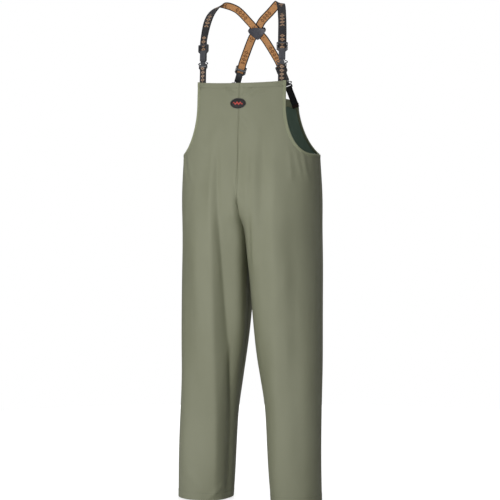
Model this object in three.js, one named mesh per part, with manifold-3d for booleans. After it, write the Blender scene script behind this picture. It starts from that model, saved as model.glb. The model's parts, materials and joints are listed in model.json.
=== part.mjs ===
// Waterproof bib overall: four fabric panels, crossed elastic braces and four side-release buckles.
// Millimetres. +Z up, the wearer faces -Y and the wearer's left is +X. Heights are measured from the
// leg hems, and the finished model is lowered so that the shoulder rest of the braces is the origin.
import * as THREE from 'three';
import { mergeVertices } from 'three/addons/utils/BufferGeometryUtils.js';
import Module from 'manifold-3d';

const wasm = await Module();
wasm.setup();

// ---------------------------------------------------------------- driving dimensions
const SHOULDER_HEIGHT = 1486;      // top of the braces above the leg hems
const CROTCH_HEIGHT = 822;         // inside leg
const RISE_HEIGHT = 930;           // where the crotch curve leaves the straight centre seam
const UNDERARM_HEIGHT = 1031;      // lowest point of the armholes, on the side seams
const FRONT_TOP = 1245;            // top corners of the front bib
const BACK_TOP = 1192;             // top corners of the back bib
const CLOTH = 1.2;                 // coated cloth with its lining
const SEAM_GAP = 0.25;             // half the gap between two panels at a seam
const STRAP_WIDTH = 25;
const STRAP_THICKNESS = 1.5;

// Trunk section: a superellipse of half width A and half depths front and back, along the height.
const ROUNDNESS = 2.4;
const HALF_WIDTH = curveThrough([[822, 212], [930, 210], [1031, 206], [1245, 206]]);
const DEPTH = {
  front: curveThrough([[822, 150], [930, 150], [1031, 140], [1160, 127], [1245, 120]]),
  back: curveThrough([[822, 150], [930, 150], [1031, 140], [1130, 131], [1212, 121]]),
};
// Leg section: an ellipse between an inner and an outer line, along the height.
const LEG_INNER = curveThrough([[0, 65], [168, 56], [270, 49], [365, 35], [510, 16], [822, 0]]);
const LEG_OUTER = curveThrough([[0, 219], [250, 216], [510, 214], [822, 212]]);
const LEG_DEPTH = curveThrough([[0, 85], [270, 95], [510, 115], [822, 146]]);
const LEG_INNER_ROUNDNESS = curveThrough([[0, 2], [510, 2.1], [822, 2.9]]);
const LEG_OUTER_ROUNDNESS = curveThrough([[0, 2], [510, 2], [822, 1.8]]);
// Each bib half: top corner, how far the top edge falls or rises to its middle, and the armhole curve.
const BIB = {
  front: { top: FRONT_TOP, middleRise: -6, half: 136, curveTop: 1180, fullness: 2 },
  back: { top: BACK_TOP, middleRise: 20, half: 112, curveTop: 1186, fullness: 1.75 },
};
const SIGN = { front: -1, back: 1 };
const SIDES = [['left', 1], ['right', -1]];
const COLUMNS = 12;
const STRAIGHT_ROWS = 5;
const TURN_ROWS = 8;
const BIB_ROWS = STRAIGHT_ROWS + TURN_ROWS;
const TURN_HEIGHT = 1110;         // where the armholes start to turn under the arm
const TRUNK_ROWS = 3;
const CROTCH_ROWS = 7;
const LEG_ROWS = 9;

const SAGE = 0x82856e;
const SAGE_EDGE = 0x7a7d66;
const TAPE = 0x46544a;
const CHARCOAL = 0x3c3e41;
const BLACK = 0x232326;
const ELASTIC = 0x5c4a3a;
const BADGE_RED = 0xb03c32;
const SILVER = 0x9a9da0;

// ---------------------------------------------------------------- small helpers
/** A smooth curve value(z) through [z, value] pairs, held level past its ends. */
function curveThrough(pairs) {
  const slope = (i) => {
    const before = pairs[Math.max(i - 1, 0)];
    const after = pairs[Math.min(i + 1, pairs.length - 1)];
    return (after[1] - before[1]) / (after[0] - before[0]);
  };
  return (z) => {
    if (z <= pairs[0][0]) return pairs[0][1];
    const i = pairs.findIndex(([height]) => z <= height);
    if (i < 0) return pairs[pairs.length - 1][1];
    const span = pairs[i][0] - pairs[i - 1][0];
    const u = (z - pairs[i - 1][0]) / span;
    const [h0, h1] = [1 - 3 * u * u + 2 * u ** 3, 3 * u * u - 2 * u ** 3];
    const [t0, t1] = [u * (1 - u) ** 2, u * u * (u - 1)];
    return h0 * pairs[i - 1][1] + h1 * pairs[i][1] + span * (t0 * slope(i - 1) + t1 * slope(i));
  };
}

const mix = (a, b, k) => a + (b - a) * k;
const steps = (count) => Array.from({ length: count + 1 }, (_, i) => i / count);

/** A closed geometry from points and triangles, turned so that its faces point out. */
function closedGeometry(points, triangles) {
  let volume = 0;
  for (const [a, b, c] of triangles) {
    volume += points[a].dot(new THREE.Vector3().crossVectors(points[b], points[c]));
  }
  const index = triangles.flatMap(([a, b, c]) => (volume < 0 ? [a, c, b] : [a, b, c]));
  const geometry = new THREE.BufferGeometry();
  const numbers = points.flatMap((point) => point.toArray());
  geometry.setAttribute('position', new THREE.Float32BufferAttribute(numbers, 3));
  geometry.setIndex(index);
  return geometry;
}

/** The closed shell between two grids of points; a ring joins its last column to its first. */
function shell(outer, inner, ring = false) {
  const [rows, columns] = [outer.length, outer[0].length];
  const points = [...outer.flat(), ...inner.flat()];
  const at = (layer, i, j) => layer * rows * columns + i * columns + (j % columns);
  const triangles = [];
  const quad = (a, b, c, d) => triangles.push([a, b, c], [a, c, d]);
  const end = columns - 1;
  const quads = ring ? columns : end;
  for (let i = 0; i < rows - 1; i += 1) {
    for (let j = 0; j < quads; j += 1) {
      quad(at(0, i, j), at(0, i, j + 1), at(0, i + 1, j + 1), at(0, i + 1, j));
      quad(at(1, i, j), at(1, i + 1, j), at(1, i + 1, j + 1), at(1, i, j + 1));
    }
    if (!ring) {
      quad(at(0, i, 0), at(0, i + 1, 0), at(1, i + 1, 0), at(1, i, 0));
      quad(at(0, i, end), at(1, i, end), at(1, i + 1, end), at(0, i + 1, end));
    }
  }
  for (let j = 0; j < quads; j += 1) {
    quad(at(0, 0, j), at(1, 0, j), at(1, 0, j + 1), at(0, 0, j + 1));
    quad(at(0, rows - 1, j), at(0, rows - 1, j + 1), at(1, rows - 1, j + 1), at(1, rows - 1, j));
  }
  return closedGeometry(points, triangles);
}

/** Unit vectors into a grid's hollow, by differences along its rows and columns, towards `centre`. */
function gridInward(grid, centre) {
  return grid.map((row, i) => row.map((point, j) => {
    const below = grid[Math.min(i + 1, grid.length - 1)][j];
    const above = grid[Math.max(i - 1, 0)][j];
    const along = row[Math.min(j + 1, row.length - 1)].clone().sub(row[Math.max(j - 1, 0)]);
    const normal = below.clone().sub(above).cross(along).normalize();
    return normal.dot(point.clone().sub(centre(point))) > 0 ? normal.negate() : normal;
  }));
}

const sinkGrid = (grid, inward, distance) => grid.map((row, i) => row.map((point, j) => (
  point.clone().addScaledVector(inward[i][j], distance))));

/** A box with given x, y and z limits. */
function block([x0, x1], [y0, y1], [z0, z1]) {
  const box = new THREE.BoxGeometry(x1 - x0, y1 - y0, z1 - z0);
  return box.translate((x0 + x1) / 2, (y0 + y1) / 2, (z0 + z1) / 2);
}

/** An outline in the x-z plane, given as [x, z] points, as a plate between two y values. */
function plate(outline, y0, y1) {
  const shape = new THREE.Shape(outline.map(([x, z]) => new THREE.Vector2(x, z)));
  const geometry = new THREE.ExtrudeGeometry(shape, { depth: y1 - y0, bevelEnabled: false });
  return geometry.rotateX(Math.PI / 2).translate(0, y1, 0);
}

function solid(geometry) {
  const bare = geometry.clone();
  bare.deleteAttribute('normal');
  bare.deleteAttribute('uv');
  const merged = mergeVertices(bare, 1e-4);
  return new wasm.Manifold(new wasm.Mesh({
    numProp: 3,
    vertProperties: new Float32Array(merged.attributes.position.array),
    triVerts: new Uint32Array(merged.index.array),
  }));
}

function geometryOf(manifold) {
  const mesh = manifold.getMesh();
  const geometry = new THREE.BufferGeometry();
  geometry.setAttribute('position', new THREE.Float32BufferAttribute(mesh.vertProperties, 3));
  geometry.setIndex(Array.from(mesh.triVerts));
  return geometry;
}

const join = (...pieces) => pieces.map(solid).reduce((whole, piece) => whole.add(piece));
const cut = (whole, ...pieces) => pieces.map(solid).reduce((rest, piece) => rest.subtract(piece), whole);

const garment = new THREE.Group();
garment.position.z = -SHOULDER_HEIGHT;

function addPart(parent, name, geometry, color, roughness = 0.8) {
  const mesh = new THREE.Mesh(geometry, new THREE.MeshStandardMaterial({ color, roughness, metalness: 0 }));
  mesh.name = name;
  parent.add(mesh);
  return mesh;
}

// ---------------------------------------------------------------- garment surface
/** Half width of a bib at a height: straight near the top, then a quarter superellipse to the underarm. */
function bibHalfWidth(face, z) {
  const { half, curveTop, fullness } = BIB[face];
  const u = THREE.MathUtils.clamp((curveTop - z) / (curveTop - UNDERARM_HEIGHT), 0, 1);
  const side = HALF_WIDTH(UNDERARM_HEIGHT);
  return side - (side - half) * (1 - u ** fullness) ** (1 / fullness);
}

/** A point of the trunk at angle 0 on the centre seam to 90 degrees on the side seam. */
function trunkPoint(face, angle, z) {
  const x = HALF_WIDTH(z) * Math.sin(angle) ** (2 / ROUNDNESS);
  const y = SIGN[face] * DEPTH[face](z) * Math.max(Math.cos(angle), 0) ** (2 / ROUNDNESS);
  return new THREE.Vector3(x, y, z);
}

function trunkAngle(z, x) {
  return Math.asin(Math.min(x / HALF_WIDTH(z), 1) ** (ROUNDNESS / 2));
}

/** The way into the trunk at a point of its surface: down the slope of the superellipse's own equation. */
function trunkInward(face, point) {
  const field = ({ x, y, z }) => (Math.abs(x) / HALF_WIDTH(z)) ** ROUNDNESS
    + (Math.abs(y) / DEPTH[face](z)) ** ROUNDNESS;
  const rise = (x, y, z) => field(point.clone().add(new THREE.Vector3(x, y, z)))
    - field(point.clone().sub(new THREE.Vector3(x, y, z)));
  return new THREE.Vector3(rise(1, 0, 0), rise(0, 1, 0), rise(0, 0, 1)).normalize().negate();
}

/** The armhole's height where its edge stands at an angle of the trunk: bibHalfWidth turned round. */
function armholeHeight(face, angle) {
  const { half, curveTop, fullness } = BIB[face];
  const side = HALF_WIDTH(UNDERARM_HEIGHT);
  const across = (side - side * Math.sin(angle) ** (2 / ROUNDNESS)) / (side - half);
  return curveTop - (curveTop - UNDERARM_HEIGHT) * Math.max(1 - across ** fullness, 0) ** (1 / fullness);
}

/** Heights of a bib's rows: even down the straight stretch, then even turns round the underarm. */
function bibHeights(face, from = BIB[face].top) {
  const turnFrom = trunkAngle(TURN_HEIGHT, bibHalfWidth(face, TURN_HEIGHT));
  return [
    ...steps(STRAIGHT_ROWS).map((k) => mix(from, TURN_HEIGHT, k)),
    ...steps(TURN_ROWS).slice(1).map((k) => armholeHeight(face, mix(turnFrom, Math.PI / 2, k))),
  ];
}

function bibRow(face, z) {
  const { top, middleRise } = BIB[face];
  const fade = (z - UNDERARM_HEIGHT) / (top - UNDERARM_HEIGHT);
  const edge = trunkAngle(z, bibHalfWidth(face, z));
  return steps(COLUMNS).map((t) => trunkPoint(face, t * edge, z + middleRise * (1 - t * t) * fade));
}

/** Column `t` of a trunk row: evenly turned columns that gather towards the leg's as `gather` nears 1. */
function trunkColumn(face, t, z, gather) {
  const legAngle = trunkAngle(z, legPoint(face, t, CROTCH_HEIGHT).x);
  return trunkPoint(face, mix(t * Math.PI / 2, legAngle, gather), z);
}

function trunkRow(face, z, gather) {
  return steps(COLUMNS).map((t) => trunkColumn(face, t, z, gather));
}

/** A point of the leg, from the inseam at t = 0 round to the side seam at t = 1. */
function legPoint(face, t, z) {
  const [inner, outer] = [LEG_INNER(z), LEG_OUTER(z)];
  const [cosine, sine] = [Math.cos(t * Math.PI), Math.max(Math.sin(t * Math.PI), 0)];
  const power = 2 / (cosine > 0 ? LEG_INNER_ROUNDNESS(z) : LEG_OUTER_ROUNDNESS(z));
  const x = (inner + outer) / 2 - (outer - inner) / 2 * Math.sign(cosine) * Math.abs(cosine) ** power;
  return new THREE.Vector3(x, SIGN[face] * LEG_DEPTH(z) * sine ** power, z);
}

/** A row of the crotch zone: the trunk's quarter section turns into the leg's half section. */
function crotchRow(face, k) {
  const angle = k * Math.PI / 2;
  const drop = RISE_HEIGHT - CROTCH_HEIGHT;
  const seamZ = RISE_HEIGHT - drop * Math.sin(angle);
  const sideZ = RISE_HEIGHT - drop * k;
  return steps(COLUMNS).map((t) => {
    const z = mix(seamZ, sideZ, THREE.MathUtils.smoothstep(t, 0, 0.8));
    const point = trunkColumn(face, t, z, 1).lerp(legPoint(face, t, CROTCH_HEIGHT), 1 - Math.cos(angle));
    return point.setZ(z);
  });
}

const legRow = (face, z) => steps(COLUMNS).map((t) => legPoint(face, t, z));

/** All the rows of one panel, from the bib's top edge to the leg hem, for the +X side. */
function panelRows(face) {
  const rows = bibHeights(face).map((z) => bibRow(face, z));
  const below = (count) => steps(count).slice(1);
  rows.push(...below(TRUNK_ROWS).map((k) => trunkRow(face, mix(UNDERARM_HEIGHT, RISE_HEIGHT, k), k)));
  rows.push(...below(CROTCH_ROWS).map((k) => crotchRow(face, k)));
  rows.push(...below(LEG_ROWS).map((k) => legRow(face, CROTCH_HEIGHT * (1 - k))));
  return rows;
}

/** The middle of the hollow that a point of the +X half surrounds. */
function hollowCentre(point) {
  if (point.z > RISE_HEIGHT) return new THREE.Vector3(0, 0, point.z);
  const middle = (LEG_INNER(point.z) + LEG_OUTER(point.z)) / 2;
  return new THREE.Vector3(middle, 0, Math.max(point.z, CROTCH_HEIGHT));
}

const mirrored = (grid, side) => grid.map((row) => row.map((p) => new THREE.Vector3(p.x * side, p.y, p.z)));

// ---------------------------------------------------------------- fabric pieces
function addPanels() {
  for (const face of ['front', 'back']) {
    const outer = panelRows(face);
    const inward = gridInward(outer, hollowCentre).map((row, i) => (
      i <= BIB_ROWS + TRUNK_ROWS ? outer[i].map((point) => trunkInward(face, point)) : row));
    const inner = sinkGrid(outer, inward, CLOTH);
    for (const point of [...outer.flat(), ...inner.flat()]) {
      point.x = Math.max(point.x, SEAM_GAP);
      point.y = SIGN[face] * Math.max(SIGN[face] * point.y, SEAM_GAP);
    }
    for (const [name, side] of SIDES) {
      addPart(garment, `${face}_panel_${name}`, shell(mirrored(outer, side), mirrored(inner, side)), SAGE);
    }
  }
}

/** A strip laid inside the trunk: a grid on its surface, sunk by `depth` and `thickness` thick. */
function lining(face, grid, depth, thickness) {
  const inward = grid.map((row) => row.map((point) => trunkInward(face, point)));
  return shell(sinkGrid(grid, inward, depth), sinkGrid(grid, inward, depth + thickness));
}

const HEM_DEPTH = 24;
const HEM_SUNK = CLOTH + 0.5;
const HEM_THICKNESS = 0.8;
const HEM_TOP_GAP = 0.4;          // the turned layer stops this far below the bib's edge
const HEM_END_INSET = 0.3;        // share of the last column that its ends stay short of the armhole
const LINING_GAP = 6;             // gap between a hem and the tape or binding that starts under it

function addBibHems() {
  for (const face of ['front', 'back']) {
    const drops = [HEM_TOP_GAP, HEM_DEPTH / 2, HEM_DEPTH];
    const halves = drops.map((down) => bibRow(face, BIB[face].top - down));
    const grid = halves.map((row) => {
      const inset = row.map((p, j) => (j === COLUMNS ? p.clone().lerp(row[j - 1], HEM_END_INSET) : p));
      return [...mirrored([inset.slice(1)], -1)[0].reverse(), ...inset];
    });
    addPart(garment, `${face}_bib_hem`, lining(face, grid, HEM_SUNK, HEM_THICKNESS), SAGE_EDGE);
  }
}

const TAPE_HALF_WIDTH = 9;
const TAPE_SUNK = CLOTH + 0.8;
const TAPE_THICKNESS = 0.5;

function addSeamTapes() {
  for (const face of ['front', 'back']) {
    const top = BIB[face].top + BIB[face].middleRise - HEM_DEPTH - LINING_GAP;
    const grid = steps(10).map((k) => [-1, 0, 1].map((across) => {
      const z = mix(top, RISE_HEIGHT + 4, k);
      const point = trunkPoint(face, trunkAngle(z, Math.abs(across) * TAPE_HALF_WIDTH), z);
      return point.setX(across * TAPE_HALF_WIDTH);
    }));
    addPart(garment, `${face}_seam_tape`, lining(face, grid, TAPE_SUNK, TAPE_THICKNESS), TAPE);
  }
}

function addLegHems() {
  const heights = [HEM_DEPTH, HEM_DEPTH / 2, 1.5];
  const half = heights.map((z) => ['front', 'back'].map((face) => legRow(face, z)));
  const grid = half.map(([front, back]) => [...front, ...back.slice(1, -1).reverse()]);
  for (const [name, side] of SIDES) {
    const centre = side * (LEG_INNER(0) + LEG_OUTER(0)) / 2;
    addPart(garment, `leg_hem_${name}`, ringLining(mirrored(grid, side), centre), SAGE_EDGE);
  }
}

/** A closed ring sunk inside a leg, moved straight towards the leg's axis. */
function ringLining(grid, centre) {
  const sunk = (distance) => grid.map((row) => row.map((p) => {
    const inward = new THREE.Vector3(centre - p.x, -p.y, 0);
    return p.clone().addScaledVector(inward, distance / inward.length());
  }));
  return shell(sunk(HEM_SUNK), sunk(HEM_SUNK + HEM_THICKNESS), true);
}

const BINDING_WIDTH = 9;
const BINDING_SUNK = CLOTH + 2;

/** Stations down one armhole edge: the edge itself and a point of the cloth one binding width away. */
function bindingStations(face) {
  const edge = bibHeights(face, BIB[face].top - HEM_DEPTH - LINING_GAP).map((z) => (
    trunkPoint(face, trunkAngle(z, bibHalfWidth(face, z)), z)));
  return edge.map((point, i) => {
    const tangent = edge[Math.min(i + 1, BIB_ROWS)].clone().sub(edge[Math.max(i - 1, 0)]);
    const intoCloth = tangent.cross(trunkInward(face, point)).normalize();
    if (intoCloth.z > 0) intoCloth.negate();
    return [1, BINDING_WIDTH].map((reach) => {
      const near = point.clone().addScaledVector(intoCloth, reach);
      const ratio = near.x / HALF_WIDTH(near.z) / (Math.abs(near.y) / DEPTH[face](near.z));
      const onCloth = trunkPoint(face, Math.atan(ratio ** (ROUNDNESS / 2)), near.z);
      return { point: onCloth, inward: trunkInward(face, onCloth) };
    });
  });
}

function addArmholeBindings() {
  const stations = [...bindingStations('front'), ...bindingStations('back').slice(0, -1).reverse()];
  const sunk = (depth) => stations.map((row) => row.map(({ point, inward }) => (
    point.clone().addScaledVector(inward, depth))));
  const [outer, inner] = [sunk(BINDING_SUNK), sunk(BINDING_SUNK + HEM_THICKNESS)];
  for (const [name, side] of SIDES) {
    const binding = shell(mirrored(outer, side), mirrored(inner, side));
    addPart(garment, `armhole_binding_${name}`, binding, SAGE_EDGE);
  }
}

// ---------------------------------------------------------------- badge on the front bib
const BADGE = { height: 1179, halfWidth: 24, halfHeight: 15.5, thickness: 1.6, rim: 1.8, offset: -2 };

function oval(halfWidth, halfHeight, count = 28) {
  return steps(count).slice(0, -1).map((k) => {
    const angle = k * 2 * Math.PI;
    return [halfWidth * Math.cos(angle), halfHeight * Math.sin(angle)];
  });
}

function addBadge() {
  const { halfWidth, halfHeight, thickness, rim } = BADGE;
  const badge = new THREE.Group();
  badge.position.set(BADGE.offset, -DEPTH.front(BADGE.height) - 0.5, BADGE.height);
  badge.rotation.x = -0.06;
  garment.add(badge);
  const backing = plate(oval(halfWidth - rim, halfHeight - rim), -thickness, 0);
  addPart(badge, 'badge_backing', backing, BLACK);
  const ring = cut(
    solid(plate(oval(halfWidth, halfHeight), -thickness - 0.4, 0)),
    plate(oval(halfWidth - rim + 0.3, halfHeight - rim + 0.3), -4, 4),
  );
  addPart(badge, 'badge_rim', geometryOf(ring), SILVER, 0.4);
  const wave = steps(16).map((k) => [mix(-14, 14, k), 2.6 * Math.sin(k * 6 * Math.PI)]);
  const outline = [...wave.map(([x, z]) => [x, z + 1.7]), ...wave.reverse().map(([x, z]) => [x, z - 1.7])];
  addPart(badge, 'badge_motif', plate(outline, -thickness - 1.1, -thickness - 0.3), BADGE_RED);
}

// ---------------------------------------------------------------- buckles
// Local frame of a buckle: x across, y through (outer side at -y), z along the strap from the bib's edge.
const BUCKLE = {
  bar: 41.5, baseLow: 46.5, baseHigh: 50, mouth: 61.5, cavityTop: 79, bodyTop: 86, ladderLow: 89,
  ladderTop: 112, strapEnd: 91.5, halfBody: 10, halfLadder: 16.5, halfDepth: 4,
};
const TAB_HALF_WIDTH = 11;
const TAB_THICKNESS = 1.3;
const TAB_TAIL = 24;               // length of tab sewn inside the bib

function socketGeometry() {
  const { mouth, cavityTop, bodyTop, ladderLow, ladderTop, halfBody, halfLadder, halfDepth } = BUCKLE;
  const outline = [
    [-halfBody + 1, mouth], [halfBody - 1, mouth], [halfBody, mouth + 2], [halfBody, bodyTop - 1],
    [halfLadder, ladderLow + 2], [halfLadder, ladderTop - 1.5], [halfLadder - 1.5, ladderTop],
    [-halfLadder + 1.5, ladderTop], [-halfLadder, ladderTop - 1.5], [-halfLadder, ladderLow + 2],
    [-halfBody, bodyTop - 1], [-halfBody, mouth + 2],
  ];
  const channel = STRAP_WIDTH / 2 + 0.4;
  const [barLow, barHigh] = [ladderLow + 8, ladderLow + 15];
  const teeth = [-1, 1].flatMap((side) => [0, 1, 2].map((i) => {
    const z = ladderLow + 5 + i * 6;
    const x = side * (halfLadder - 1.7);
    return block([x - 0.8, x + 0.8], [-9, 9], [z - 1.3, z + 1.3]);
  }));
  return geometryOf(cut(
    solid(plate(outline, -halfDepth, halfDepth)),
    block([-8, 8], [-2.4, 2.4], [mouth - 5, cavityTop]),
    block([-channel, channel], [-1.2, 1.2], [ladderLow + 2, ladderTop + 5]),
    block([-channel, channel], [-9, -1], [ladderLow + 4.5, ladderTop - 3.5]),
    block([-channel, channel], [1, 9], [ladderLow + 2.5, barLow]),
    block([-channel, channel], [1, 9], [barHigh, ladderTop + 5]),
    block([-2.5, 2.5], [-9, -3.2], [mouth - 1, mouth + 4]),
    ...teeth,
  ));
}

// The latch's flat shoulder between its base and the socket's mouth, inside the two arms.
const LATCH_SHOULDER = [
  [-8, 49.5], [8, 49.5], [8, 53], [6.4, 56.5], [4.4, 60.6], [-4.4, 60.6], [-6.4, 56.5], [-8, 53],
];

function latchGeometry() {
  const { bar, baseLow, baseHigh } = BUCKLE;
  const cheeks = [[-14, -12], [12, 14]].map((x) => block(x, [-2.6, 2.6], [bar - 2.2, baseLow + 0.5]));
  return geometryOf(join(
    plate([[-14, baseLow], [14, baseLow], [12.5, baseHigh], [-12.5, baseHigh]], -3, 3),
    ...cheeks,
    block([-13, 13], [-1.3, 1.3], [bar - 1.3, bar + 1.3]),
    plate(LATCH_SHOULDER, -2.4, 2.4),
    plate([[-2.5, baseHigh - 1], [2.5, baseHigh - 1], [2, 76], [-2, 76]], -1.6, 1.6),
  ));
}

const smoothCurve = (points) => new THREE.CatmullRomCurve3(points, false, 'centripetal');

/** A strip with a curved centre line in the x-z plane: `half` thick each way, between two y values. */
function bentStrip(points, half, y0, y1, count) {
  const curve = smoothCurve(points.map(([x, z]) => new THREE.Vector3(x, 0, z)));
  const edges = [1, -1].map((side) => steps(count).map((k) => {
    const tangent = curve.getTangent(k);
    const point = curve.getPoint(k);
    return [point.x + side * half * tangent.z, point.z - side * half * tangent.x];
  }));
  return plate([...edges[0], ...edges[1].reverse()], y0, y1);
}

// Centre line of a squeeze arm: out of the base, round the finger wing, then up inside the socket.
const ARM_ROOT = [9.5, 51.4];
const ARM_LINE = [ARM_ROOT, [14, 51.6], [16.4, 54], [13.4, 56.6], [8.6, 58.4], [6.6, 62.5], [6.4, 75.5]];

function armGeometry(side) {
  return bentStrip(ARM_LINE.map(([x, z]) => [side * x, z]), 1, -1.9, 1.9, 18);
}

const TAB_LAP = (TAB_THICKNESS + 0.5) / 2;      // each layer's distance from the tab's middle plane
const TAB_TURN = 2.9;                           // radius of its centre line round the latch bar

/** The tab of webbing: up behind, round the latch bar and down in front, both ends inside the bib. */
function tabGeometry() {
  const { bar } = BUCKLE;
  const loop = steps(8).map((k) => {
    const angle = mix(-35, 215, k) * Math.PI / 180;
    return [TAB_TURN * Math.cos(angle), bar + TAB_TURN * Math.sin(angle)];
  });
  const layer = (x) => [[x, -TAB_TAIL], [x, 10], [x, bar - 9]];
  const line = [...layer(TAB_LAP), ...loop, ...layer(-TAB_LAP).reverse()];
  const strip = bentStrip(line, TAB_THICKNESS / 2, -TAB_HALF_WIDTH, TAB_HALF_WIDTH, 28);
  return strip.rotateZ(Math.PI / 2);
}

/** The frame of a buckle: where it leaves the bib, which way it runs and which way its outer side faces. */
function buckleFrame(origin, along, outward) {
  const z = new THREE.Vector3(...along).normalize();
  const out = new THREE.Vector3(...outward);
  const y = out.addScaledVector(z, -out.dot(z)).normalize().negate();
  const x = new THREE.Vector3().crossVectors(y, z);
  return new THREE.Matrix4().makeBasis(x, y, z).setPosition(...origin);
}

const FRONT_TAB_X = 122;
const REAR_TAB_X = 98;
const FRONT_TAB_INSET = 8.5;        // the tabs' middle planes lie this far inside the cloth
const REAR_TAB_INSET = 9;
const frontTabY = -trunkDepthAt('front', FRONT_TAB_X, FRONT_TOP) + FRONT_TAB_INSET;
const rearTabY = trunkDepthAt('back', REAR_TAB_X, BACK_TOP) - REAR_TAB_INSET;

function trunkDepthAt(face, x, z) {
  return Math.abs(trunkPoint(face, trunkAngle(z, x), z).y);
}

const FRAMES = {};
for (const [name, side] of SIDES) {
  FRAMES[`front_${name}`] = buckleFrame(
    [side * FRONT_TAB_X, frontTabY, FRONT_TOP + 2], [-0.035, 0.16, 1], [side * 0.3, -1, 0]);
  FRAMES[`rear_${name}`] = buckleFrame(
    [side * REAR_TAB_X, rearTabY, BACK_TOP + 8], [-side * 0.33, -0.16, 0.93], [side * 0.25, 1, 0]);
}

function addBuckles() {
  for (const [place, matrix] of Object.entries(FRAMES)) {
    const holder = new THREE.Group();
    holder.applyMatrix4(matrix);
    garment.add(holder);
    const color = place.startsWith('front') ? CHARCOAL : BLACK;
    addPart(holder, `buckle_socket_${place}`, socketGeometry(), color, 0.45);
    addPart(holder, `buckle_latch_${place}`, latchGeometry(), color, 0.45);
    for (const [name, side] of [['a', 1], ['b', -1]]) {
      addPart(holder, `latch_arm_${place}_${name}`, armGeometry(side), color, 0.45);
    }
    addPart(holder, `tab_${place}`, tabGeometry(), CHARCOAL);
  }
}

// ---------------------------------------------------------------- cross slider and braces
const CROSS = new THREE.Vector3(0, 48, 1410);
const CROSS_TILT = 0.464;          // the slider leans back down the shoulders
const CROSS_ANGLE = 0.63;          // each brace from the slider's upright line
const CROSS_STEP = 1.5;            // distance of each brace from the slider's middle plane
const crossUp = new THREE.Vector3(0, -Math.sin(CROSS_TILT), Math.cos(CROSS_TILT));
const crossOut = new THREE.Vector3(0, Math.cos(CROSS_TILT), Math.sin(CROSS_TILT));

function addCrossSlider() {
  const slider = new THREE.Group();
  slider.position.copy(CROSS);
  slider.rotation.x = CROSS_TILT;
  garment.add(slider);
  const half = [[0, -30], [5, -28], [25, -7], [27, 0], [24, 5], [0, 9]];
  const mirror = half.slice(1, -1).map(([x, z]) => [-x, z]).reverse();
  const cheeks = [[-6, -3.2], [3.2, 6]].map(([y0, y1]) => plate([...half, ...mirror], y0, y1));
  const posts = [-1, 1].map((side) => block([side * 24 - 2, side * 24 + 2], [-4, 4], [-4, 1]));
  const tip = plate([[-2.5, -29], [2.5, -29], [0.6, -26], [-0.6, -26]], -4, 4);
  addPart(slider, 'cross_slider', geometryOf(join(...cheeks, ...posts, tip)), CHARCOAL, 0.5);
}

/** A flat band along a route of {at, across} stations: `across` is the direction of its width. */
function bandGeometry(route, width, thickness, count) {
  const line = smoothCurve(route.map((station) => station.at));
  const across = smoothCurve(route.map((station) => station.across));
  const sections = steps(count).map((k) => {
    const at = line.getPoint(k);
    const tangent = line.getTangent(k);
    const side = across.getPoint(k);
    side.addScaledVector(tangent, -side.dot(tangent)).normalize();
    const normal = new THREE.Vector3().crossVectors(tangent, side);
    return [[-1, -1], [1, -1], [1, 1], [-1, 1]].map(([u, v]) => at.clone()
      .addScaledVector(side, u * width / 2)
      .addScaledVector(normal, v * thickness / 2));
  });
  return tubeOf(sections);
}

/** A closed solid through equal sections, capped at both ends. */
function tubeOf(sections) {
  const corners = sections[0].length;
  const triangles = [];
  for (let i = 0; i < sections.length - 1; i += 1) {
    for (let j = 0; j < corners; j += 1) {
      const [a, b] = [i * corners + j, i * corners + (j + 1) % corners];
      triangles.push([a, b, b + corners], [a, b + corners, a + corners]);
    }
  }
  const last = (sections.length - 1) * corners;
  for (let j = 1; j < corners - 1; j += 1) {
    triangles.push([0, j + 1, j], [last, last + j, last + j + 1]);
  }
  return closedGeometry(sections.flat(), triangles);
}

// Free waypoints of each brace between its front buckle and the slider, and the way its width lies.
const SHOULDER_ROUTE = {
  right: [
    { at: [-118, -62, 1428], across: [1, 0, 0] },
    { at: [-110, -30, 1463], across: [0.95, 0, 0.2] },
    { at: [-93, 2, 1482], across: [0.85, -0.15, 0.45] },
    { at: [-56, 20, 1471], across: [0.78, -0.25, 0.55] },
  ],
  left: [
    { at: [108, -45, 1432], across: [1, 0, 0] },
    { at: [92, -9, 1479], across: [0.97, 0.1, -0.2] },
    { at: [80, 6, 1482], across: [0.85, 0.2, -0.45] },
    { at: [52, 21, 1460], across: [0.76, 0.28, -0.57] },
  ],
};

/** Stations on a buckle's strap channel, at distances along its axis. */
function buckleStations(place, distances) {
  const matrix = FRAMES[place];
  const across = new THREE.Vector3().setFromMatrixColumn(matrix, 0);
  if (across.x < 0) across.negate();
  return distances.map((z) => ({ at: new THREE.Vector3(0, 0, z).applyMatrix4(matrix), across }));
}

/** Stations through the slider for the brace that comes down from one side. */
function crossStations(side) {
  const down = new THREE.Vector3(-side * Math.sin(CROSS_ANGLE), 0, 0)
    .addScaledVector(crossUp, -Math.cos(CROSS_ANGLE));
  const across = new THREE.Vector3(Math.cos(CROSS_ANGLE), 0, 0)
    .addScaledVector(crossUp, -side * Math.sin(CROSS_ANGLE));
  const middle = CROSS.clone().addScaledVector(crossOut, side * CROSS_STEP);
  const at = (distance) => middle.clone().addScaledVector(down, distance);
  return [-34, -17, 0, 17, 34].map((distance) => ({ at: at(distance), across }));
}

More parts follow.
